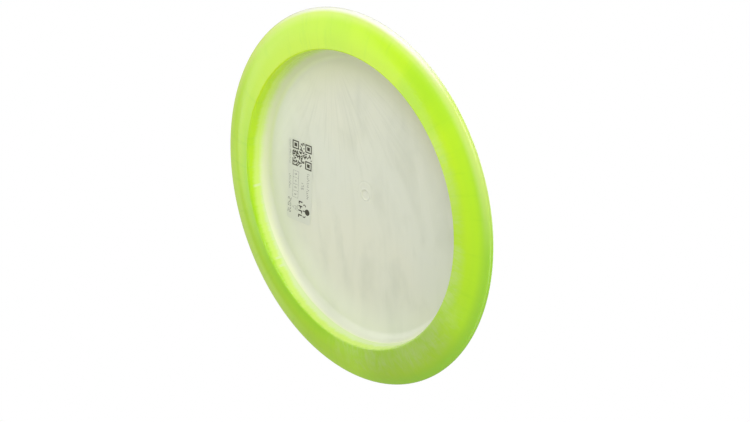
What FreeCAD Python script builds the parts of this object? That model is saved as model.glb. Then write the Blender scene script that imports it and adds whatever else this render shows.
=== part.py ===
import FreeCAD, Part
import math
import os

# Flying disc for distance throws: a domed flight plate, a wing-shaped rim moulded round its edge,
# and a clear stick-on label under the plate.
#
# Frame: millimetres, +Z up. The disc lies as it rests on a table. The origin is on its axis, in the
# plane of the table, and the label is on the +X side.

# Driving dimensions
DISC_RADIUS = 105.5
LIP_RADIUS = 83.4
LIP_ROUND = 1.0
REST_OUTER_RADIUS = 91.0
NOSE_HEIGHT = 5.5
NOSE_ROUND = 1.8
WALL_DRAFT = math.radians(4.5)
CORNER_FILLET = 6.0

DOME_CENTRE_HEIGHT = 16.5
DOME_SPHERE_RADIUS = 724.0
PLATE_THICKNESS = 1.8
PLATE_EDGE_RADIUS = 80.0

SHOULDER_ROUND = 40.0
SHOULDER_END_SLOPE = math.radians(12.0)
WING_END_SLOPE = math.radians(21.0)
WING_CROWN = 0.45
BEVEL_END_SLOPE = math.radians(18.0)
BEVEL_CROWN = 0.35

PARTING_ANGLE = math.radians(16.0)
TONGUE_THICKNESS = 1.3
TONGUE_START_RADIUS = 84.4
TONGUE_END_RADIUS = 88.6
TONGUE_START_HEIGHT = 10.4
TONGUE_END_HEIGHT = 9.6
TONGUE_BEAD_ROUND = 0.95

GATE_RADIUS = 3.1
GATE_DEPTH = 0.3
GATE_EDGE_WIDTH = 1.2
GATE_EDGE_HEIGHT = 0.2
GATE_EDGE_CROWN = 0.08

LABEL_WIDTH = 19.6
LABEL_LENGTH = 49.6
LABEL_CORNER = 2.0
LABEL_THICKNESS = 0.1
LABEL_CENTRE_RADIUS = 53.7
LABEL_TILT = 9.5

SPHERE_CENTRE = FreeCAD.Vector(0, 0, DOME_CENTRE_HEIGHT - DOME_SPHERE_RADIUS)
Z_AXIS = FreeCAD.Vector(0, 0, 1)


def at(radius, height):
    """A point of the half section, which lies in the XZ plane."""
    return FreeCAD.Vector(radius, 0, height)


def on_sphere(radius, sphere_radius):
    """The point at this distance from the axis on a sphere about the dome's centre."""
    rise = math.sqrt(sphere_radius ** 2 - radius ** 2)
    return at(radius, SPHERE_CENTRE.z + rise)


def line(start, end):
    return Part.LineSegment(start, end).toShape()


def sphere_arc(inner_radius, outer_radius, sphere_radius):
    middle_radius = (inner_radius + outer_radius) / 2
    points = [on_sphere(r, sphere_radius) for r in (inner_radius, middle_radius, outer_radius)]
    return Part.Arc(*points).toShape()


def round_arc(centre, radius, start, end):
    """The short arc about a centre, from the direction of start to the direction of end."""
    middle = (start - centre).normalize() + (end - centre).normalize()
    return Part.Arc(start, centre + middle.normalize() * radius, end).toShape()


def crowned_arc(start, end, crown):
    """A nearly straight arc that bulges by crown to the left of the way from start to end."""
    way = (end - start).normalize()
    left = FreeCAD.Vector(-way.z, 0, way.x)
    return Part.Arc(start, (start + end) / 2 + left * crown, end).toShape()


def lathe(edges):
    """A solid of revolution from a closed half section."""
    face = Part.Face(Part.Wire(edges))
    return face.revolve(FreeCAD.Vector(0, 0, 0), Z_AXIS, 360)


def inner_corner():
    """The drafted inner wall and the fillet between it and the dome.

    The fillet's centre is one fillet radius from the wall and one fillet radius inside the dome's
    sphere. Plate and rim part on the fillet, just above the wall.
    """
    wall_foot = at(LIP_RADIUS, LIP_ROUND)
    wall_way = at(-math.sin(WALL_DRAFT), math.cos(WALL_DRAFT))
    inward = at(-math.cos(WALL_DRAFT), -math.sin(WALL_DRAFT))
    start = wall_foot + inward * CORNER_FILLET - SPHERE_CENTRE
    reach = DOME_SPHERE_RADIUS - CORNER_FILLET
    along = start.dot(wall_way)
    run = math.sqrt(along ** 2 - start.dot(start) + reach ** 2) - along
    centre = SPHERE_CENTRE + start + wall_way * run
    out_of_axis = at(math.cos(PARTING_ANGLE), math.sin(PARTING_ANGLE))
    return {
        "wall_foot": wall_foot,
        "wall_top": wall_foot + wall_way * run,
        "centre": centre,
        "parting": centre + out_of_axis * CORNER_FILLET,
        "dome_end": SPHERE_CENTRE + (centre - SPHERE_CENTRE).normalize() * DOME_SPHERE_RADIUS,
    }


def shoulder():
    """The round that leaves the plate's top at the dome's own slope and steepens into the wing."""
    start = on_sphere(PLATE_EDGE_RADIUS, DOME_SPHERE_RADIUS + PLATE_THICKNESS)
    centre = start - (start - SPHERE_CENTRE).normalize() * SHOULDER_ROUND
    end_normal = at(math.sin(SHOULDER_END_SLOPE), math.cos(SHOULDER_END_SLOPE))
    return start, centre, centre + end_normal * SHOULDER_ROUND


def joint_edges(inner_end, outer_end):
    """The interlocking joint of plate and rim, from the inner corner to the top of the shoulder.

    The plate's edge has a tongue that ends in a bead, and the rim is moulded round it.
    """
    start = at(TONGUE_START_RADIUS, TONGUE_START_HEIGHT)
    end = at(TONGUE_END_RADIUS, TONGUE_END_HEIGHT)
    way = (end - start).normalize()
    half = at(-way.z, way.x) * (TONGUE_THICKNESS / 2)
    neck = math.sqrt(TONGUE_BEAD_ROUND ** 2 - (TONGUE_THICKNESS / 2) ** 2)
    bead_start = end - way * neck
    tip = end + way * TONGUE_BEAD_ROUND
    return [
        line(inner_end, start - half),
        line(start - half, bead_start - half),
        Part.Arc(bead_start - half, tip, bead_start + half).toShape(),
        line(bead_start + half, start + half),
        line(start + half, outer_end),
    ]


def gate_edges():
    """The round gate mark at the middle of the underside: a shallow recess with a raised edge."""
    floor_centre = at(0, DOME_CENTRE_HEIGHT + GATE_DEPTH)
    floor_edge = at(GATE_RADIUS, DOME_CENTRE_HEIGHT + GATE_DEPTH)
    crest = at(GATE_RADIUS + GATE_EDGE_WIDTH / 3, DOME_CENTRE_HEIGHT - GATE_EDGE_HEIGHT)
    foot = on_sphere(GATE_RADIUS + GATE_EDGE_WIDTH, DOME_SPHERE_RADIUS)
    return [line(floor_centre, floor_edge), line(floor_edge, crest), crowned_arc(crest, foot, -GATE_EDGE_CROWN)]


def make_flight_plate():
    top_sphere = DOME_SPHERE_RADIUS + PLATE_THICKNESS
    corner = inner_corner()
    shoulder_start, shoulder_centre, shoulder_end = shoulder()
    edges = gate_edges()
    edges += [
        sphere_arc(GATE_RADIUS + GATE_EDGE_WIDTH, corner["dome_end"].x, DOME_SPHERE_RADIUS),
        round_arc(corner["centre"], CORNER_FILLET, corner["dome_end"], corner["parting"]),
    ]
    edges += joint_edges(corner["parting"], shoulder_end)
    edges += [
        round_arc(shoulder_centre, SHOULDER_ROUND, shoulder_end, shoulder_start),
        sphere_arc(PLATE_EDGE_RADIUS, 0, top_sphere),
        line(on_sphere(0, top_sphere), at(0, DOME_CENTRE_HEIGHT + GATE_DEPTH)),
    ]
    return lathe(edges)


def make_rim():
    corner = inner_corner()
    shoulder_end = shoulder()[2]

    # The nose's round ends where the wing above and the bevel below leave it.
    nose_centre = at(DISC_RADIUS - NOSE_ROUND, NOSE_HEIGHT)
    nose_tip = at(DISC_RADIUS, NOSE_HEIGHT)
    wing_normal = at(math.sin(WING_END_SLOPE), math.cos(WING_END_SLOPE))
    bevel_normal = at(math.sin(BEVEL_END_SLOPE), -math.cos(BEVEL_END_SLOPE))
    nose_top = nose_centre + wing_normal * NOSE_ROUND
    nose_bottom = nose_centre + bevel_normal * NOSE_ROUND

    rest_inner = at(LIP_RADIUS + LIP_ROUND, 0)
    rest_outer = at(REST_OUTER_RADIUS, 0)
    lip_centre = at(LIP_RADIUS + LIP_ROUND, LIP_ROUND)
    edges = joint_edges(corner["parting"], shoulder_end)
    edges += [
        crowned_arc(shoulder_end, nose_top, WING_CROWN),
        Part.Arc(nose_top, nose_tip, nose_bottom).toShape(),
        crowned_arc(nose_bottom, rest_outer, BEVEL_CROWN),
        line(rest_outer, rest_inner),
        round_arc(lip_centre, LIP_ROUND, rest_inner, corner["wall_foot"]),
        line(corner["wall_foot"], corner["wall_top"]),
        round_arc(corner["centre"], CORNER_FILLET, corner["wall_top"], corner["parting"]),
    ]
    return lathe(edges)


def make_label():
    """A rounded rectangle of thin film that follows the dome's underside."""
    half_width = LABEL_WIDTH / 2
    half_length = LABEL_LENGTH / 2
    outline = Part.makeBox(LABEL_WIDTH, LABEL_LENGTH, DOME_CENTRE_HEIGHT)
    outline.translate(FreeCAD.Vector(-half_width, -half_length, 0))
    upright = [edge for edge in outline.Edges if abs(edge.tangentAt(edge.FirstParameter).z) > 0.9]
    outline = outline.makeFillet(LABEL_CORNER, upright)
    outline.rotate(FreeCAD.Vector(0, 0, 0), Z_AXIS, LABEL_TILT)
    outline.translate(FreeCAD.Vector(LABEL_CENTRE_RADIUS, 0, 0))
    outer_ball = Part.makeSphere(DOME_SPHERE_RADIUS, SPHERE_CENTRE)
    inner_ball = Part.makeSphere(DOME_SPHERE_RADIUS - LABEL_THICKNESS, SPHERE_CENTRE)
    return outline.common(outer_ball).cut(inner_ball).Solids[0]


def main():
    os.makedirs("parts", exist_ok=True)
    parts = {
        "flight_plate": make_flight_plate(),
        "rim": make_rim(),
        "label": make_label(),
    }
    for name, shape in parts.items():
        shape.exportStep("parts/" + name + ".step")
        print(name, shape.ShapeType, shape.isValid(), round(shape.Volume / 1000, 3), "cm3")


main()
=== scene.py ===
import math
import random

import bmesh
import bpy
from mathutils import Matrix, Vector


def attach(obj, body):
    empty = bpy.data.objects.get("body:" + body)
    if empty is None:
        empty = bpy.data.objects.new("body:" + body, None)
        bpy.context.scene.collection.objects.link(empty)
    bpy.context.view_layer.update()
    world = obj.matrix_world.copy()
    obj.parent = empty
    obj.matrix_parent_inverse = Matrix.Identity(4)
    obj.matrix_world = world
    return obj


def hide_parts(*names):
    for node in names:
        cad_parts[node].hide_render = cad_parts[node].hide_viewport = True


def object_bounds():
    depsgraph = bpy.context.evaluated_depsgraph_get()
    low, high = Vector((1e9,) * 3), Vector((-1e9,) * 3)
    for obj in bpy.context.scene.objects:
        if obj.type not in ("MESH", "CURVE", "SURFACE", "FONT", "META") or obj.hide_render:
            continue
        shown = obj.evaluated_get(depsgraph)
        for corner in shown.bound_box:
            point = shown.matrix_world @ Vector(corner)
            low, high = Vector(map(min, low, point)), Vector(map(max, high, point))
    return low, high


# Flying disc seen from below. The frame is in metres, +Z up; the disc lies with its open side down,
# its axis on Z, its resting ring at z = 0 and its label on the +X side.

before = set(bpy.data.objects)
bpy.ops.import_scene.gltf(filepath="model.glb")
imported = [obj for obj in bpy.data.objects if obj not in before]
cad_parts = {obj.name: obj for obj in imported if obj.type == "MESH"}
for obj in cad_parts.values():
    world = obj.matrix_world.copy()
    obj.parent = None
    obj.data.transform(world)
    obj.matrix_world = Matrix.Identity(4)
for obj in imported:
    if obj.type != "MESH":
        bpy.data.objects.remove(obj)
cad_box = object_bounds()

MM = 0.001
ROOT = "root"

# The disc's section, in millimetres. The outside comes from the frame, the rest repeats the design.
DISC_RADIUS = cad_box[1][0] / MM
TOP_HEIGHT = cad_box[1][2] / MM
PLATE_THICKNESS = 1.8
DOME_HEIGHT = TOP_HEIGHT - PLATE_THICKNESS
DOME_SPHERE = 724.0
DOME_CENTRE = DOME_HEIGHT - DOME_SPHERE
PLATE_EDGE = 80.0
LIP_RADIUS = 83.4
LIP_ROUND = 1.0
WALL_DRAFT = math.radians(4.5)
CORNER_FILLET = 6.0
PARTING_ANGLE = math.radians(16.0)
REST_OUTER = 91.0
NOSE_HEIGHT = 5.5
NOSE_ROUND = 1.8
SHOULDER_ROUND = 40.0
SHOULDER_SLOPE = math.radians(12.0)
WING_SLOPE = math.radians(21.0)
WING_CROWN = 0.45
BEVEL_SLOPE = math.radians(18.0)
BEVEL_CROWN = 0.35
TONGUE_HALF = 0.65
TONGUE_START = (84.4, 10.4)
TONGUE_END = (88.6, 9.6)
TONGUE_BEAD = 0.95
SEAM_ROUND = 0.03
TURN_STEPS = 480

# Points of the bevel and of the resting ring that the eased edge between them takes the place of.
EASED_BEVEL_POINTS = 6
EASED_REST_POINTS = 3

# The gate mark and the ring left by the mould's insert, under the middle of the plate.
GATE_RADIUS = 3.1
GATE_DEPTH = 0.3
GATE_EDGE_WIDTH = 1.2
GATE_EDGE_HEIGHT = 0.2
GATE_STEPS = 24
INSERT_RING_AT = (-0.4, 2.0, 0.0)
INSERT_RING_RADIUS = 5.6
INSERT_RING_WIDTH = 0.7

# The point at the plate's edge from which faint grey streaks spread over it.
FAN_START = (14.0, 84.0, 0.0)

# The label: a film and its print. u runs across it and v along it, from its middle. The print is
# placed down the label from its top end and up from its side, moved in by PRINT_SHIFT.
LABEL_WIDTH = 19.6
LABEL_LENGTH = 49.6
LABEL_CORNER = 2.0
LABEL_THICKNESS = 0.1
LABEL_RADIUS = 53.7
LABEL_TILT = math.radians(9.5)
PRINT_THICKNESS = 0.02
PRINT_SHIFT = (0.5, 0.25)
LONGEST_MARK = 3.0
# The made-up matrix code: cells along a side, cells along a corner mark, and size.
CODE_CELLS = 21
CODE_CORNER = 7
CODE_SIZE = 15.5
# A figure's width as a part of its height.
DIGIT_WIDTH = 0.55
HAIRLINE = 0.10
# The framed row of four figures.
BOX_DOWN = 18.8
BOX_UP = 3.6
BOX_LENGTH = 16.6
BOX_HEIGHT = 4.5
BOX_PITCH = 4.15
EMBLEM_UP = 13.6
# The strokes of the figures 0 to 9: a, d and g are the bars from the top down, b and c the upper
# sides, and e and f the lower sides, left before right.
SEGMENTS = ("abcefg", "cf", "acdeg", "acdfg", "bcdf", "abdfg", "abdefg", "acf", "abcdefg", "abcdfg")

CAMERA_AT = Vector((-0.5853, 0.2194, -0.4921))
CAMERA_AIM = Vector((-0.0126, -0.0059, 0.0116))
CAMERA_UP = Vector((0.160, 0.956, 0.246))
CAMERA_LENS = 70.35
CAMERA_SENSOR = 36.0
CAMERA_CLIP = 0.01

FLOOR_HALF = 3.0
FLOOR_DROP = -0.0004
FLOOR_SHADE = 0.86

PLASTIC_IOR = 1.49
FILM_IOR = 1.47

# Round soft lamps, all aimed at the disc: name, place, diameter in metres and power in watts.
WORLD_LIGHT = 0.40
LAMPS = (
    ("key", (-0.345, 0.60, -0.36), 0.5, 1.26),
    ("near_key", (-0.10, 0.30, -0.15), 0.2, 0.19),
    ("left", (0.45, 0.05, -0.33), 0.5, 0.92),
    ("low_right", (-0.504, 0.291, -0.145), 0.3, 0.56),
    ("low_corner", (-0.504, -0.291, -0.145), 0.3, 0.55),
    ("low_under", (-0.291, -0.504, -0.145), 0.3, 0.26),
    ("upper_right", (-0.426, 0.298, -0.30), 0.2, 0.4),
    ("top", (0.0, 0.0, 0.80), 1.0, 4.2),
)


# ---------------------------------------------------------------- section


def polar(centre, radius, angle):
    return (centre[0] + radius * math.cos(angle), centre[1] + radius * math.sin(angle))


def arc(centre, radius, start, end, steps):
    """Points of an arc from the start angle to the end angle, both included."""
    return [polar(centre, radius, start + (end - start) * i / steps) for i in range(steps + 1)]


def straight(start, end, steps):
    return [
        (start[0] + (end[0] - start[0]) * i / steps, start[1] + (end[1] - start[1]) * i / steps)
        for i in range(steps + 1)
    ]


def crowned(start, end, crown, steps):
    """A nearly straight curve that bulges by crown to the left of the way from start to end."""
    dx, dy = end[0] - start[0], end[1] - start[1]
    length = math.hypot(dx, dy)
    points = []
    for i in range(steps + 1):
        along = i / steps
        bulge = crown * 4 * along * (1 - along) / length
        points.append((start[0] + dx * along - dy * bulge, start[1] + dy * along + dx * bulge))
    return points


def dome_height(radius, thickness=0.0):
    sphere = DOME_SPHERE + thickness
    return DOME_CENTRE + math.sqrt(sphere ** 2 - radius ** 2)


def corner():
    """The inner wall and the fillet between it and the dome, as in the design."""
    wall_way = (-math.sin(WALL_DRAFT), math.cos(WALL_DRAFT))
    inward = (-math.cos(WALL_DRAFT), -math.sin(WALL_DRAFT))
    start = (
        LIP_RADIUS + inward[0] * CORNER_FILLET,
        LIP_ROUND + inward[1] * CORNER_FILLET - DOME_CENTRE,
    )
    reach = DOME_SPHERE - CORNER_FILLET
    along = start[0] * wall_way[0] + start[1] * wall_way[1]
    run = math.sqrt(along ** 2 - start[0] ** 2 - start[1] ** 2 + reach ** 2) - along
    centre = (start[0] + wall_way[0] * run, start[1] + wall_way[1] * run + DOME_CENTRE)
    dome_angle = math.atan2(centre[1] - DOME_CENTRE, centre[0])
    return centre, dome_angle


def shoulder():
    """Centre and start angle of the round at the plate's edge, and its end point."""
    start_angle = math.acos(PLATE_EDGE / (DOME_SPHERE + PLATE_THICKNESS))
    start = (PLATE_EDGE, dome_height(PLATE_EDGE, PLATE_THICKNESS))
    centre = polar(start, -SHOULDER_ROUND, start_angle)
    end_angle = math.pi / 2 - SHOULDER_SLOPE
    return centre, start_angle, end_angle, polar(centre, SHOULDER_ROUND, end_angle)


def joint_points():
    """The hidden tongue joint, from its root under the plate's corner to its root at the top."""
    way = (TONGUE_END[0] - TONGUE_START[0], TONGUE_END[1] - TONGUE_START[1])
    slope = math.atan2(way[1], way[0])
    neck = math.asin(TONGUE_HALF / TONGUE_BEAD)
    bead = arc(TONGUE_END, TONGUE_BEAD, slope - math.pi + neck, slope + math.pi - neck, 12)
    low = polar(TONGUE_START, TONGUE_HALF, slope - math.pi / 2)
    high = polar(TONGUE_START, TONGUE_HALF, slope + math.pi / 2)
    return [low] + bead + [high]


def eased(start, edge, end, steps):
    """A curve from start to end that cuts the edge between them."""
    points = []
    for i in range(steps + 1):
        t = i / steps
        a, b, c = (1 - t) ** 2, 2 * t * (1 - t), t ** 2
        points.append(
            (
                start[0] * a + edge[0] * b + end[0] * c,
                start[1] * a + edge[1] * b + end[1] * c,
            )
        )
    return points


def eased_seam(before, parting, after):
    """Rounds a visible edge at a parting, so that the two pieces meet in a fine groove.

    A support point on each side keeps the shading of the groove out of the faces beside it.
    """

    def towards(point, distance):
        dx, dy = point[0] - parting[0], point[1] - parting[1]
        part = distance / math.hypot(dx, dy)
        return (parting[0] + dx * part, parting[1] + dy * part)

    groove = eased(towards(before, SEAM_ROUND), parting, towards(after, SEAM_ROUND), 4)
    return [towards(before, 2 * SEAM_ROUND)] + groove + [towards(after, 2 * SEAM_ROUND)]


def gate_profile():
    """A shallow dish with a soft edge, from the axis outwards."""
    points = []
    reach = GATE_RADIUS + GATE_EDGE_WIDTH
    for i in range(GATE_STEPS + 1):
        radius = reach * i / GATE_STEPS
        inside = min(1.0, radius / GATE_RADIUS)
        dish = GATE_DEPTH * (1 - inside ** 6)
        crest = GATE_EDGE_HEIGHT * math.exp(-(((radius - GATE_RADIUS) / (GATE_EDGE_WIDTH / 3)) ** 2))
        points.append((radius, dome_height(radius) + dish - crest))
    return points


def underside_points():
    """The dome's underside from the gate mark to the fillet."""
    centre, dome_angle = corner()
    dome_end = polar(centre, CORNER_FILLET, dome_angle)
    start = GATE_RADIUS + GATE_EDGE_WIDTH
    steps = 44
    radii = [start + (dome_end[0] - start) * i / steps for i in range(1, steps + 1)]
    return [(r, dome_height(r)) for r in radii]


def top_points():
    """The plate's top from its edge to the axis."""
    steps = 40
    radii = [PLATE_EDGE * (1 - i / steps) for i in range(steps + 1)]
    return [(r, dome_height(r, PLATE_THICKNESS)) for r in radii]


def plate_profile():
    centre, dome_angle = corner()
    shoulder_centre, top_angle, shoulder_angle, shoulder_end = shoulder()
    joint = joint_points()
    parting = polar(centre, CORNER_FILLET, PARTING_ANGLE)
    fillet = arc(centre, CORNER_FILLET, dome_angle, PARTING_ANGLE, 26)
    rounding = arc(shoulder_centre, SHOULDER_ROUND, shoulder_angle, top_angle, 10)
    points = gate_profile() + underside_points() + fillet[1:-1]
    points += eased_seam(fillet[-2], parting, joint[0]) + joint
    points += eased_seam(joint[-1], shoulder_end, rounding[1]) + rounding[1:] + top_points()[1:]
    return points


def rim_profile():
    centre, _ = corner()
    shoulder_end = shoulder()[3]
    joint = joint_points()
    parting = polar(centre, CORNER_FILLET, PARTING_ANGLE)
    nose = (DISC_RADIUS - NOSE_ROUND, NOSE_HEIGHT)
    nose_arc = arc(nose, NOSE_ROUND, math.pi / 2 - WING_SLOPE, BEVEL_SLOPE - math.pi / 2, 24)
    wing = crowned(shoulder_end, nose_arc[0], WING_CROWN, 36)
    bevel = crowned(nose_arc[-1], (REST_OUTER, 0.0), BEVEL_CROWN, 26)
    rest = straight((REST_OUTER, 0.0), (LIP_RADIUS + LIP_ROUND, 0.0), 8)
    rest_edge = eased(bevel[-EASED_BEVEL_POINTS], (REST_OUTER, 0.0), rest[EASED_REST_POINTS], 12)
    lip_centre = (LIP_RADIUS + LIP_ROUND, LIP_ROUND)
    lip = arc(lip_centre, LIP_ROUND, -math.pi / 2, -math.pi, 10)
    wall_top = polar(centre, CORNER_FILLET, WALL_DRAFT)
    wall = straight(lip[-1], wall_top, 12)
    fillet = arc(centre, CORNER_FILLET, WALL_DRAFT, PARTING_ANGLE, 5)
    points = joint + eased_seam(joint[-1], shoulder_end, wing[1]) + wing[1:]
    points += nose_arc[1:] + bevel[1:-EASED_BEVEL_POINTS]
    points += rest_edge + rest[EASED_REST_POINTS + 1:]
    points += lip[1:] + wall[1:] + fillet[1:-1]
    points += eased_seam(fillet[-2], parting, joint[0])
    return points


# ---------------------------------------------------------------- meshes


def closed_object(name, vertices, faces):
    """A piece with its faces turned outwards. It rides on the disc's one body."""
    mesh = bpy.data.meshes.new(name)
    mesh.from_pydata(vertices, [], faces)
    mesh.validate()
    work = bmesh.new()
    work.from_mesh(mesh)
    bmesh.ops.recalc_face_normals(work, faces=work.faces)
    work.to_mesh(mesh)
    work.free()
    piece = bpy.data.objects.new(name, mesh)
    bpy.context.scene.collection.objects.link(piece)
    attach(piece, ROOT)
    return piece


def lathe(name, profile, closed_on_axis):
    """A closed mesh from a section in millimetres, turned about Z.

    A profile closed on the axis starts and ends there, and other profiles are loops.
    """
    rings = profile[1:-1] if closed_on_axis else profile
    vertices = []
    for radius, height in rings:
        for step in range(TURN_STEPS):
            angle = 2 * math.pi * step / TURN_STEPS
            point = (radius * math.cos(angle) * MM, radius * math.sin(angle) * MM, height * MM)
            vertices.append(point)
    faces = []
    last = len(rings) if not closed_on_axis else len(rings) - 1
    for ring in range(last):
        here = ring * TURN_STEPS
        there = (ring + 1) % len(rings) * TURN_STEPS
        for step in range(TURN_STEPS):
            after = (step + 1) % TURN_STEPS
            faces.append((here + step, here + after, there + after, there + step))
    if closed_on_axis:
        first, final = len(vertices), len(vertices) + 1
        vertices.append((0.0, 0.0, profile[0][1] * MM))
        vertices.append((0.0, 0.0, profile[-1][1] * MM))
        end_ring = (len(rings) - 1) * TURN_STEPS
        for step in range(TURN_STEPS):
            after = (step + 1) % TURN_STEPS
            faces.append((first, after, step))
            faces.append((final, end_ring + step, end_ring + after))
    piece = closed_object(name, vertices, faces)
    piece.data.shade_smooth()
    return piece


def on_label(u, v, depth):
    """A point of the label, in metres: u across, v along, depth below the plate's underside."""
    turned_x = u * math.cos(LABEL_TILT) - v * math.sin(LABEL_TILT)
    turned_y = u * math.sin(LABEL_TILT) + v * math.cos(LABEL_TILT)
    x, y = LABEL_RADIUS + turned_x, turned_y
    return Vector((x * MM, y * MM, (dome_height(math.hypot(x, y)) - depth) * MM))


# ---------------------------------------------------------------- materials

# Patterns work in millimetres, and bump distances and subsurface scales are in metres. Directions are
# in degrees round Z, with the label at 0 and +Y at 90.


class Pattern:
    """Short calls that build a material's nodes. Nearly all of them return an output socket.

    The numbers of a fade are start, end, low and high, and those of noise are scale, detail,
    roughness and distortion.
    """

    def __init__(self, name):
        self.material = bpy.data.materials.new(name)
        self.material.use_nodes = True
        self.tree = self.material.node_tree
        self.shader = self.tree.nodes["Principled BSDF"]
        place = self.tree.nodes.new("ShaderNodeTexCoord").outputs["Object"]
        self.place = self.vector("SCALE", place, scale=1 / MM)
        flat = self.vector("MULTIPLY", self.place, (1.0, 1.0, 0.0))
        self.radius = self.vector("LENGTH", flat)
        self.direction = self.vector("NORMALIZE", flat)
        split = self.tree.nodes.new("ShaderNodeSeparateXYZ")
        self.tree.links.new(self.place, split.inputs[0])
        self.height = split.outputs["Z"]

    def put(self, socket, value):
        if isinstance(value, bpy.types.NodeSocket):
            self.tree.links.new(value, socket)
        elif value is not None:
            socket.default_value = value

    def vector(self, operation, a, b=None, scale=None):
        node = self.tree.nodes.new("ShaderNodeVectorMath")
        node.operation = operation
        self.put(node.inputs[0], a)
        self.put(node.inputs[1], b)
        if operation == "SCALE":
            self.put(node.inputs["Scale"], scale)
        return node.outputs["Value" if operation in ("LENGTH", "DOT_PRODUCT") else "Vector"]

    def math(self, operation, a, b=None, clamp=False):
        node = self.tree.nodes.new("ShaderNodeMath")
        node.operation = operation
        node.use_clamp = clamp
        self.put(node.inputs[0], a)
        self.put(node.inputs[1], b)
        return node.outputs[0]

    def times(self, a, b):
        return self.math("MULTIPLY", a, b)

    def plus(self, a, b):
        return self.math("ADD", a, b)

    def fade(self, value, start, end, low=0.0, high=1.0):
        """Goes smoothly from low to high as the value goes from start to end."""
        node = self.tree.nodes.new("ShaderNodeMapRange")
        node.interpolation_type = "SMOOTHSTEP"
        for name, number in (
            ("Value", value),
            ("From Min", start),
            ("From Max", end),
            ("To Min", low),
            ("To Max", high),
        ):
            self.put(node.inputs[name], number)
        return node.outputs["Result"]

    def towards(self, degrees, start, end, low=0.0, high=1.0):
        """Fades round the axis as the angle from the given direction goes from start to end."""
        angle = math.radians(degrees)
        heading = (math.cos(angle), math.sin(angle), 0.0)
        cosine = self.vector("DOT_PRODUCT", self.direction, heading)
        return self.fade(cosine, math.cos(math.radians(start)), math.cos(math.radians(end)), low, high)

    def around(self, turns, along_radius, along_height=0.0):
        """Coordinates for streaks that run along the radius, seamless round the disc."""
        node = self.tree.nodes.new("ShaderNodeCombineXYZ")
        run = self.times(self.radius, along_radius)
        rise = self.times(self.height, along_height)
        self.put(node.inputs["Z"], self.plus(run, rise))
        return self.vector("ADD", self.vector("SCALE", self.direction, scale=turns), node.outputs[0])

    def noise(self, place, scale, detail=2.0, roughness=0.5, distortion=0.0):
        node = self.tree.nodes.new("ShaderNodeTexNoise")
        self.put(node.inputs["Vector"], place)
        self.put(node.inputs["Scale"], scale)
        self.put(node.inputs["Detail"], detail)
        self.put(node.inputs["Roughness"], roughness)
        self.put(node.inputs["Distortion"], distortion)
        return node.outputs[0]

    def stretched(self, stretch, detail, roughness, distortion=0.0):
        """Noise with its own scale along each axis."""
        place = self.vector("MULTIPLY", self.place, stretch)
        return self.noise(place, 1.0, detail, roughness, distortion)

    def mix(self, factor, a, b):
        node = self.tree.nodes.new("ShaderNodeMix")
        node.data_type = "RGBA"
        self.put(node.inputs[0], factor)
        self.put(node.inputs[6], a)
        self.put(node.inputs[7], b)
        return node.outputs[2]

    def bump(self, height, distance, strength=1.0, normal=None):
        node = self.tree.nodes.new("ShaderNodeBump")
        self.put(node.inputs["Height"], height)
        self.put(node.inputs["Distance"], distance)
        self.put(node.inputs["Strength"], strength)
        self.put(node.inputs["Normal"], normal)
        return node.outputs[0]

    def finish(self, **sockets):
        for name, value in sockets.items():
            self.put(self.shader.inputs[name.replace("_", " ")], value)
        return self.material


def colour(red, green, blue):
    """A colour given as it looks on screen, from 0 to 255, for a shader that works in linear light."""

    def linear(value):
        value /= 255
        return value / 12.92 if value <= 0.04045 else ((value + 0.055) / 1.055) ** 2.4

    return (linear(red), linear(green), linear(blue), 1.0)


def flow_lines(p):
    """Streaks left by the plastic's flow, coarse and fine, and what moves the bands of the wall.

    The push is the streaks' own, and the lean is the broad change round the disc, both in mm.
    """
    coarse = p.noise(p.around(26.0, 0.03), 1.0, 3.0, 0.6)
    fine = p.noise(p.around(60.0, 0.05), 1.0, 2.0, 0.6)
    push = p.times(p.math("SUBTRACT", coarse, 0.5), 3.0)
    push = p.plus(push, p.times(p.math("SUBTRACT", fine, 0.5), 1.6))
    upper = p.towards(45.0, 66.0, 12.0, 0.0, -3.5)
    lower = p.towards(-80.0, 45.0, 10.0, 0.0, 2.2)
    return coarse, fine, push, p.plus(upper, lower)


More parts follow.
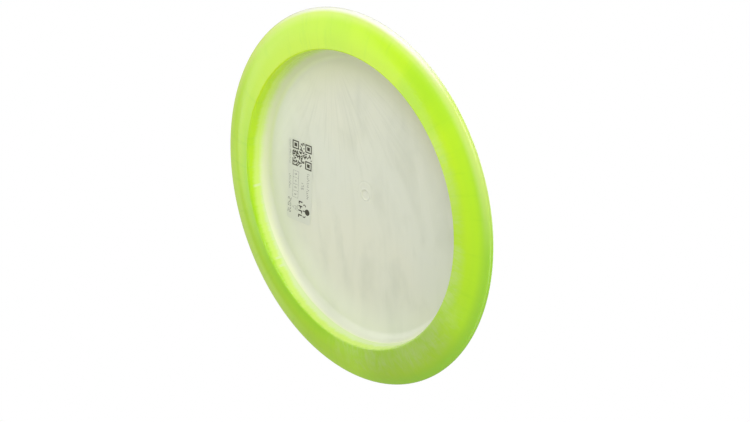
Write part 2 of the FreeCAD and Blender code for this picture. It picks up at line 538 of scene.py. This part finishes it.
def lime_ground(p, coarse, fine):
    """The rim's green and its streaks, with painted light above and low on the left, and painted shade
    by the lip and on the right.
    """
    top_lit_lime = colour(205, 244, 24)
    green_lime = colour(183, 231, 44)
    bevel_lime = colour(200, 243, 40)
    streak_and_shade_lime = colour(160, 222, 36)
    painted_light_lime = colour(212, 255, 84)

    # Painted light: the rim turns lighter and yellower towards +Y, where the light comes from, with a
    # random drift of the plastic's own tone.
    broad = p.noise(p.around(1.6, 0.012), 1.0, 2.0, 0.55, 0.4)
    drift = p.times(p.math("SUBTRACT", broad, 0.5), 0.8)
    upper = p.plus(p.towards(90.0, 150.0, 20.0), drift)
    body = p.mix(upper, green_lime, top_lit_lime)
    body = p.mix(p.fade(p.radius, 87.0, 98.0, 0.0, 0.6), body, bevel_lime)
    outside = p.fade(p.radius, 92.0, 97.0)
    # Painted light: the outer bevel is lighter towards -22 degrees.
    body = p.mix(p.times(outside, p.towards(-22.0, 45.0, 15.0, 0.0, 0.9)), body, painted_light_lime)
    # Painted shade: the outer bevel is deeper green towards 175 degrees.
    body = p.mix(p.times(outside, p.towards(175.0, 70.0, 35.0, 0.0, 0.2)), body, streak_and_shade_lime)
    # Painted shade: the ring is deeper green by the lip, towards -30 degrees.
    lip_shade_mask = p.times(p.fade(p.radius, 91.0, 85.0), p.towards(-30.0, 70.0, 20.0, 0.0, 0.5))
    body = p.mix(p.times(lip_shade_mask, p.fade(p.height, 1.6, 0.4)), body, streak_and_shade_lime)
    body = p.mix(p.fade(coarse, 0.52, 0.74, 0.0, 0.22), body, streak_and_shade_lime)
    for heading, strength in ((94.0, 0.15), (132.0, 0.35), (142.0, 0.25)):
        stripe = p.towards(heading, 8.0, 1.0, 0.0, strength)
        body = p.mix(p.times(stripe, p.fade(fine, 0.2, 0.6, 0.8, 1.0)), body, streak_and_shade_lime)
    return body


def with_milky_haze(p, body):
    """Milky patches on the ring and the bevel, where the pale plastic ran into the green, and painted
    shade low on the rim.
    """
    milk = colour(214, 234, 160)
    shade = colour(140, 172, 60)

    haze = p.noise(p.around(30.0, 0.12), 1.0, 3.0, 0.55, 0.8)
    clouds = p.noise(p.place, 0.055, 4.0, 0.6, 1.4)
    narrow = p.fade(p.radius, 94.0, 86.0)
    wide = p.fade(p.radius, 102.0, 92.0)
    right = p.math("MAXIMUM", p.towards(165.0, 24.0, 8.0, 0.0, 0.55), p.towards(-160.0, 22.0, 6.0))
    bottom = p.times(p.towards(-114.0, 46.0, 14.0, 0.0, 0.9), wide)
    milky = p.math("MAXIMUM", p.times(right, narrow), bottom)
    veil = p.plus(p.fade(haze, 0.38, 0.68, 0.0, 0.24), p.fade(clouds, 0.38, 0.68, 0.08, 0.38))
    body = p.mix(p.times(milky, veil), body, milk)
    # Painted shade: the rim is darker low down, towards -118 degrees.
    return p.mix(p.towards(-118.0, 32.0, 10.0, 0.0, 0.35), body, shade)


def with_nose(p, body):
    """The nose: deep green painted shade low on the right, pale painted light above, and painted
    highlights, nearly white at its brightest place.
    """
    nose_shade_green = colour(144, 208, 18)
    painted_nose_light = colour(238, 250, 160)
    nose_highlight_cream = colour(224, 236, 150)
    white = colour(252, 254, 236)

    nose_side = p.fade(p.radius, 98.0, 104.5)
    # Painted shade: the nose is deep green towards -150 degrees.
    body = p.mix(p.times(nose_side, p.towards(-150.0, 75.0, 15.0, 0.0, 0.8)), body, nose_shade_green)
    # Painted light: the nose is paler all round and most towards 75 degrees, where light shines through
    # it from above.
    body = p.mix(p.times(nose_side, p.towards(75.0, 75.0, 20.0, 0.1, 0.5)), body, painted_nose_light)
    # Painted highlight: a cream band on the nose's underside towards 138 degrees.
    under = p.fade(p.height, 7.6, 5.8)
    cream_highlight = p.times(p.fade(p.radius, 100.5, 104.0), p.towards(138.0, 52.0, 22.0, 0.0, 0.5))
    body = p.mix(p.times(cream_highlight, under), body, nose_highlight_cream)
    # Painted highlight: the nose's underside is nearly white towards 100 degrees.
    white_highlight = p.times(p.fade(p.radius, 102.8, 105.0), p.towards(100.0, 44.0, 12.0, 0.0, 0.95))
    return p.mix(p.times(white_highlight, under), body, white)


def with_wall(p, body, push, lean):
    """The inner wall: green at the lip and paler upwards, with three light scratches."""
    pale_lime = colour(220, 250, 124)
    cream = colour(228, 244, 190)

    wall = p.fade(p.radius, 84.2, 83.4)
    level = p.plus(p.plus(p.height, push), lean)
    body = p.mix(p.times(wall, p.fade(level, 0.2, 3.8, 0.0, 0.9)), body, pale_lime)
    body = p.mix(p.times(wall, p.fade(level, 4.4, 8.0, 0.0, 0.85)), body, cream)
    for heading in (-34.0, -37.5, -3.0):
        scratch = p.times(wall, p.towards(heading, 0.7, 0.15, 0.0, 0.7))
        body = p.mix(p.times(scratch, p.fade(p.height, 2.0, 4.5)), body, cream)
    top_edge = p.fade(p.plus(p.radius, push), 89.0, 84.0, 0.0, 0.6)
    return p.mix(p.times(top_edge, p.fade(p.height, 9.0, 11.0)), body, cream)


def rim_material():
    p = Pattern("lime_plastic")
    coarse, fine, push, lean = flow_lines(p)
    body = lime_ground(p, coarse, fine)
    body = with_milky_haze(p, body)
    body = with_nose(p, body)
    body = with_wall(p, body, push, lean)

    mottle = p.noise(p.place, 0.20, 3.0, 0.6)
    gloss = p.plus(p.fade(mottle, 0.3, 0.7, 0.20, 0.27), p.fade(p.radius, 86.0, 84.5, 0.0, -0.09))
    relief = p.bump(p.noise(p.place, 0.5, 2.0, 0.5), 0.00003, 0.10)
    relief = p.bump(coarse, 0.00006, 0.15, relief)
    away_from_joint = p.math("MAXIMUM", p.fade(p.height, 7.0, 2.5), p.fade(p.radius, 90.0, 95.0))
    return p.finish(
        Base_Color=body,
        Roughness=gloss,
        Normal=relief,
        IOR=PLASTIC_IOR,
        Subsurface_Weight=p.times(away_from_joint, 0.35),
        Subsurface_Radius=(1.0, 1.0, 0.6),
        Subsurface_Scale=0.006,
    )


def milky_ground(p, flat, swirl):
    """The plate's milky body with grey wisps, a fan of grey streaks and fine light lines."""
    milk = colour(225, 228, 211)
    warm = colour(228, 229, 209)
    smoke = colour(201, 205, 186)
    streak = colour(234, 236, 220)

    wisps = p.stretched((0.085, 0.026, 0.1), 2.0, 0.5, 0.8)
    smudges = p.stretched((0.07, 0.04, 0.1), 3.0, 0.5, 0.3)
    lines = p.stretched((0.9, 0.016, 0.5), 2.0, 0.5, 0.2)
    broad = p.noise(p.place, 0.012, 2.0, 0.5)
    body = p.mix(p.fade(broad, 0.35, 0.65), milk, warm)
    body = p.mix(p.fade(swirl, 0.48, 0.76, 0.0, 0.5), body, smoke)
    body = p.mix(p.fade(wisps, 0.44, 0.76, 0.0, 0.24), body, smoke)
    body = p.mix(p.fade(smudges, 0.48, 0.75, 0.0, 0.3), body, smoke)

    spread = p.vector("SUBTRACT", flat, FAN_START)
    heading = p.vector("SCALE", p.vector("NORMALIZE", spread), scale=24.0)
    rays = p.vector("ADD", heading, p.vector("SCALE", spread, scale=0.03))
    fan = p.fade(p.noise(rays, 1.0, 2.0, 0.5), 0.46, 0.74, 0.0, 0.3)
    near_start = p.fade(p.vector("LENGTH", spread), 105.0, 45.0)
    body = p.mix(p.times(fan, near_start), body, smoke)
    return p.mix(p.fade(lines, 0.64, 0.78, 0.0, 0.3), body, streak)


def with_plate_edge(p, body):
    """The underside's edge: khaki painted shade above, painted light below, and lime where it meets the
    wall.
    """
    khaki = colour(222, 224, 190)
    painted_light = colour(240, 244, 224)
    cream = colour(238, 245, 196)
    pale_lime = colour(214, 246, 116)

    _, _, push, lean = flow_lines(p)
    swell = p.plus(p.height, p.times(p.times(p.radius, p.radius), 1 / (2 * DOME_SPHERE)))
    below = p.fade(swell, TOP_HEIGHT - 0.5, DOME_HEIGHT + 0.5)
    edge = p.times(p.fade(p.radius, 54.0, 76.0), below)
    # Painted shade with a painted reflection of the green rim: khaki under the lip, towards 105 degrees.
    body = p.mix(p.times(edge, p.towards(105.0, 70.0, 20.0, 0.0, 0.9)), body, khaki)
    # Painted light: the edge is paler towards -25 degrees, where light comes through and off the wall.
    body = p.mix(p.times(edge, p.towards(-25.0, 110.0, 55.0, 0.0, 0.6)), body, painted_light)
    fillet = p.times(p.fade(p.radius, 75.0, 78.0), p.fade(p.height, 15.5, 14.5))
    level = p.plus(p.plus(p.height, p.times(push, 0.5)), lean)
    body = p.mix(p.times(fillet, p.fade(level, 12.4, 8.4, 0.0, 0.8)), body, cream)
    return p.mix(p.times(fillet, p.fade(level, 8.4, 5.0, 0.0, 0.9)), body, pale_lime)


def plate_material():
    p = Pattern("milky_plastic")
    flat = p.vector("MULTIPLY", p.place, (1.0, 1.0, 0.0))
    swirl = p.stretched((0.022, 0.009, 0.02), 3.0, 0.5, 0.9)
    body = milky_ground(p, flat, swirl)
    body = with_plate_edge(p, body)

    mottle = p.noise(p.place, 0.30, 3.0, 0.6)
    scratches = p.stretched((3.0, 0.12, 1.0), 3.0, 0.7, 0.3)
    gloss = p.plus(p.fade(mottle, 0.3, 0.7, 0.30, 0.40), p.fade(scratches, 0.66, 0.80, 0.0, 0.12))
    relief = p.bump(p.noise(p.place, 0.5, 2.0, 0.5), 0.00003, 0.10)
    relief = p.bump(swirl, 0.0004, 0.3, relief)
    from_ring_centre = p.vector("LENGTH", p.vector("SUBTRACT", flat, INSERT_RING_AT))
    from_ring = p.math("ABSOLUTE", p.math("SUBTRACT", from_ring_centre, INSERT_RING_RADIUS))
    relief = p.bump(p.fade(from_ring, 0.0, INSERT_RING_WIDTH), 0.00008, 0.8, relief)
    return p.finish(
        Base_Color=body,
        Roughness=gloss,
        Normal=relief,
        IOR=PLASTIC_IOR,
        Subsurface_Weight=p.fade(p.radius, 79.0, 72.0, 0.0, 0.25),
        Subsurface_Radius=(1.0, 1.0, 0.8),
        Subsurface_Scale=0.004,
    )


def film_material():
    p = Pattern("satin_film")
    tone = p.stretched((0.10, 0.03, 0.1), 3.0, 0.5)
    body = p.mix(p.fade(tone, 0.3, 0.7), colour(219, 222, 205), colour(223, 226, 208))
    gloss = p.fade(p.noise(p.place, 1.5, 2.0, 0.5), 0.3, 0.7, 0.34, 0.44)
    return p.finish(Base_Color=body, Roughness=gloss, IOR=FILM_IOR)


def ink_material():
    p = Pattern("grey_ink")
    wear = p.noise(p.place, 3.0, 3.0, 0.6)
    body = p.mix(p.fade(wear, 0.35, 0.75), colour(46, 43, 28), colour(78, 75, 56))
    gloss = p.fade(wear, 0.3, 0.7, 0.5, 0.65)
    return p.finish(Base_Color=body, Roughness=gloss)


# ---------------------------------------------------------------- label


def rounded_outline(half_u, half_v, radius, steps):
    centres = [
        (half_u - radius, half_v - radius, 0.0),
        (radius - half_u, half_v - radius, math.pi / 2),
        (radius - half_u, radius - half_v, math.pi),
        (half_u - radius, radius - half_v, 1.5 * math.pi),
    ]
    points = []
    for u, v, start in centres:
        points += arc((u, v), radius, start, start + math.pi / 2, steps)
    return points


def sheet_from(name, work, lift_high, lift_low):
    """Turns flat faces drawn in u, v into a thin closed sheet that follows the plate's underside."""
    work.verts.index_update()
    count = len(work.verts)
    vertices = []
    for depth in (lift_high, lift_low):
        vertices += [on_label(vertex.co.x, vertex.co.y, depth) for vertex in work.verts]
    faces = []
    for face in work.faces:
        corners = [vertex.index for vertex in face.verts]
        faces.append(corners)
        faces.append([index + count for index in reversed(corners)])
    for edge in work.edges:
        if edge.is_boundary:
            a, b = (vertex.index for vertex in edge.verts)
            faces.append((a, b, b + count, a + count))
    work.free()
    return closed_object(name, vertices, faces)


def make_film():
    """The label's film, cut both ways so that it follows the curved plate closely."""
    work = bmesh.new()
    outline = rounded_outline(LABEL_WIDTH / 2, LABEL_LENGTH / 2, LABEL_CORNER, 6)
    work.faces.new([work.verts.new((u, v, 0.0)) for u, v in outline])
    for length, way, count in ((LABEL_LENGTH, (0, 1, 0), 20), (LABEL_WIDTH, (1, 0, 0), 8)):
        for index in range(1, count):
            cut = Vector(way) * length * (index / count - 0.5)
            geometry = work.verts[:] + work.edges[:] + work.faces[:]
            bmesh.ops.bisect_plane(work, geom=geometry, plane_co=cut, plane_no=way)
    return sheet_from("label_film", work, 0.0, LABEL_THICKNESS)


class Print:
    """Dark marks on the label. They lie beside one another, run down the label and face its right."""

    def __init__(self):
        self.work = bmesh.new()

    def face(self, points):
        """One flat mark. Points are (down, up): down the label from its top, up from its side."""
        corners = []
        for down, up in points:
            u = LABEL_WIDTH / 2 - up - PRINT_SHIFT[0]
            v = LABEL_LENGTH / 2 - down - PRINT_SHIFT[1]
            corners.append(self.work.verts.new((u, v, 0.0)))
        self.work.faces.new(corners)

    def block(self, down, up, length, height):
        """A bar, in pieces that are short enough to follow the curved plate."""
        pieces = max(1, round(length / LONGEST_MARK))
        for i in range(pieces):
            start = down + length * i / pieces
            end = down + length * (i + 1) / pieces
            self.face([(start, up), (end, up), (end, up + height), (start, up + height)])

    def frame(self, down, up, length, height, line):
        self.block(down, up, length, line)
        self.block(down, up + height - line, length, line)
        self.block(down, up + line, line, height - 2 * line)
        self.block(down + length - line, up + line, line, height - 2 * line)

    def digit(self, number, down, up, height, line):
        """A seven-segment figure, so that no typeface is copied."""
        width = height * DIGIT_WIDTH
        half = (height - 3 * line) / 2
        bars = (up + height - line, up + line + half, up)
        for place, level in zip("adg", bars):
            if place in SEGMENTS[number]:
                self.block(down, level, width, line)
        for place, side, level in (("b", 0, 1), ("c", 1, 1), ("e", 0, 2), ("f", 1, 2)):
            if place in SEGMENTS[number]:
                start = bars[level] + line
                self.block(down + side * (width - line), start, line, half)

    def figure(self, numbers, down, up, height, line, gap):
        for number in numbers:
            self.digit(number, down, up, height, line)
            down += height * DIGIT_WIDTH + gap

    def words(self, lengths, down, up, height, line, chance):
        """Rows of letter-like strokes without meaning, one group for each word."""
        for length in lengths:
            for _ in range(length):
                tall = height if chance.random() < 0.3 else height * 0.68
                self.block(down, up, line, tall)
                if chance.random() < 0.8:
                    level = chance.choice((0.0, tall * 0.45, tall - line))
                    self.block(down + line, up + level, height * 0.26, line)
                down += height * 0.62
            down += height * 0.45

    def ring(self, down, up, outer, inner, start, end, steps):
        """A part of a ring, from the start angle to the end angle."""
        outside = arc((down, up), outer, start, end, steps)
        inside = arc((down, up), inner, start, end, steps)
        for i in range(steps):
            self.face([outside[i], outside[i + 1], inside[i + 1], inside[i]])

    def code(self, down, up, size, chance):
        """A made-up matrix pattern with three corner marks. It holds no message."""
        cell = size / CODE_CELLS
        far = CODE_CELLS - CODE_CORNER
        for row, column in ((0, 0), (0, far), (far, far)):
            low_down, low_up = down + row * cell, up + column * cell
            self.frame(low_down, low_up, CODE_CORNER * cell, CODE_CORNER * cell, cell)
            self.block(low_down + 2 * cell, low_up + 2 * cell, 3 * cell, 3 * cell)
        for row in range(CODE_CELLS):
            for column in range(CODE_CELLS):
                near_corner = row <= CODE_CORNER and (column <= CODE_CORNER or column > far - 2)
                near_corner = near_corner or (row > far - 2 and column > far - 2)
                if not near_corner and chance.random() < 0.48:
                    self.block(down + row * cell, up + column * cell, cell, cell)


def make_print():
    """All marks, as (down, up) in millimetres. One seeded generator draws the code and the words."""
    chance = random.Random(27)
    marks = Print()
    marks.code(0.2, 2.9, CODE_SIZE, chance)
    marks.words((9, 8, 7), 0.8, 0.6, 0.95, HAIRLINE, chance)
    marks.words((8, 6), 18.2, 15.0, 1.75, 0.16, chance)
    marks.figure((1, 7, 5), 24.2, 10.4, 1.85, 0.18, 0.8)
    marks.frame(BOX_DOWN, BOX_UP, BOX_LENGTH, BOX_HEIGHT, HAIRLINE)
    for index, number in enumerate((9, 4, 2, 3)):
        down = BOX_DOWN + index * BOX_PITCH
        if index:
            marks.block(down, BOX_UP + HAIRLINE, HAIRLINE, BOX_HEIGHT - 2 * HAIRLINE)
        marks.digit(number, down + 1.6, BOX_UP + 1.5, 1.5, 0.15)
    marks.words((10,), 22.2, 0.5, 1.5, 0.13, chance)
    marks.figure((2, 4, 0, 7, 2), 36.5, 0.3, 2.4, 0.2, 0.62)
    bold_strokes(marks)
    marks.words((7,), 39.5, 7.5, 1.0, HAIRLINE, chance)
    small_triangle(marks)
    plain_emblem(marks)
    low = LABEL_THICKNESS + PRINT_THICKNESS
    return sheet_from("label_print", marks.work, LABEL_THICKNESS, low)


def bold_strokes(marks):
    """Four heavy strokes with a short arm each, where the real label has a word."""
    down, up, pitch, width = 36.4, 8.9, 2.75, 0.75
    for index in range(4):
        start = down + index * pitch
        marks.block(start, up, width, 3.0)
        marks.block(start + width, up + 1.12 * (index % 3), 1.1, width)


def small_triangle(marks):
    """A triangle that points down the label's side, drawn with three lines."""
    left, right = (40.2, 6.9), (42.9, 6.9)
    inner_left, inner_right = (40.35, 6.7), (42.75, 6.7)
    tip, inner_tip = (41.55, 3.8), (41.55, 4.1)
    marks.face([left, right, inner_right, inner_left])
    marks.face([left, inner_left, inner_tip, tip])
    marks.face([right, inner_right, inner_tip, tip])


def plain_emblem(marks):
    """A disc on a stem between two brackets."""
    marks.face(arc((41.8, 16.1), 1.9, 0.0, 2 * math.pi * 23 / 24, 23))
    marks.block(41.45, 12.5, 0.7, 1.6)
    marks.ring(38.9, EMBLEM_UP, 1.3, 0.75, 0.5 * math.pi, 1.35 * math.pi, 8)
    marks.ring(44.5, EMBLEM_UP, 1.3, 0.75, -0.35 * math.pi, 0.5 * math.pi, 8)


def main():
    plate = lathe("plate_moulding", plate_profile(), True)
    rim = lathe("rim_moulding", rim_profile(), False)
    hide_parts("flight_plate")
    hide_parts("rim")
    plate.data.materials.append(plate_material())
    rim.data.materials.append(rim_material())

    film = make_film()
    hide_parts("label")
    film.data.materials.append(film_material())
    marks = make_print()
    marks.data.materials.append(ink_material())


def make_camera():
    data = bpy.data.cameras.new("camera")
    data.lens = CAMERA_LENS
    data.sensor_width = CAMERA_SENSOR
    data.clip_start = CAMERA_CLIP
    camera = bpy.data.objects.new("camera", data)
    bpy.context.scene.collection.objects.link(camera)
    back = (CAMERA_AT - CAMERA_AIM).normalized()
    right = CAMERA_UP.cross(back).normalized()
    up = back.cross(right)
    turn = Matrix((right, up, back)).transposed().to_4x4()
    camera.matrix_world = Matrix.Translation(CAMERA_AT) @ turn
    bpy.context.scene.camera = camera


def make_floor():
    """A pale table top under the disc. It shows from above only, so the view from below is open."""
    mesh = bpy.data.meshes.new("floor")
    corners = ((-1, -1), (1, -1), (1, 1), (-1, 1))
    vertices = [(x * FLOOR_HALF, y * FLOOR_HALF, FLOOR_DROP) for x, y in corners]
    mesh.from_pydata(vertices, [], [(0, 1, 2, 3)])
    floor = bpy.data.objects.new("floor", mesh)
    bpy.context.scene.collection.objects.link(floor)
    material = bpy.data.materials.new("floor")
    material.use_nodes = True
    nodes = material.node_tree.nodes
    links = material.node_tree.links
    nodes.clear()
    side = nodes.new("ShaderNodeNewGeometry")
    paint = nodes.new("ShaderNodeBsdfDiffuse")
    paint.inputs["Color"].default_value = (FLOOR_SHADE, FLOOR_SHADE, FLOOR_SHADE, 1.0)
    clear = nodes.new("ShaderNodeBsdfTransparent")
    mixer = nodes.new("ShaderNodeMixShader")
    output = nodes.new("ShaderNodeOutputMaterial")
    links.new(side.outputs["Backfacing"], mixer.inputs[0])
    links.new(paint.outputs[0], mixer.inputs[1])
    links.new(clear.outputs[0], mixer.inputs[2])
    links.new(mixer.outputs[0], output.inputs[0])
    mesh.materials.append(material)
    floor.visible_shadow = False
    floor.visible_diffuse = False
    floor.visible_glossy = False
    floor.visible_transmission = False


def make_light(name, place, size, power):
    data = bpy.data.lights.new(name, "AREA")
    data.shape = "DISK"
    data.size = size
    data.energy = power
    lamp = bpy.data.objects.new(name, data)
    bpy.context.scene.collection.objects.link(lamp)
    back = Vector(place).normalized()
    lamp.rotation_mode = "QUATERNION"
    lamp.rotation_quaternion = back.to_track_quat("Z", "Y")
    lamp.location = place


def make_world():
    """Soft light from all round. The camera sees plain white behind the disc."""
    world = bpy.data.worlds.new("studio")
    world.use_nodes = True
    nodes = world.node_tree.nodes
    background = nodes["Background"]
    path = nodes.new("ShaderNodeLightPath")
    level = nodes.new("ShaderNodeMapRange")
    level.inputs["To Min"].default_value = WORLD_LIGHT
    level.inputs["To Max"].default_value = 1.0
    world.node_tree.links.new(path.outputs["Is Camera Ray"], level.inputs["Value"])
    world.node_tree.links.new(level.outputs["Result"], background.inputs["Strength"])
    background.inputs["Color"].default_value = (1.0, 1.0, 1.0, 1.0)
    bpy.context.scene.world = world


def make_lights():
    make_world()
    for name, place, size, power in LAMPS:
        make_light(name, place, size, power)


make_camera()
make_floor()
make_lights()
main()
bpy.context.scene.view_settings.view_transform = "Standard"
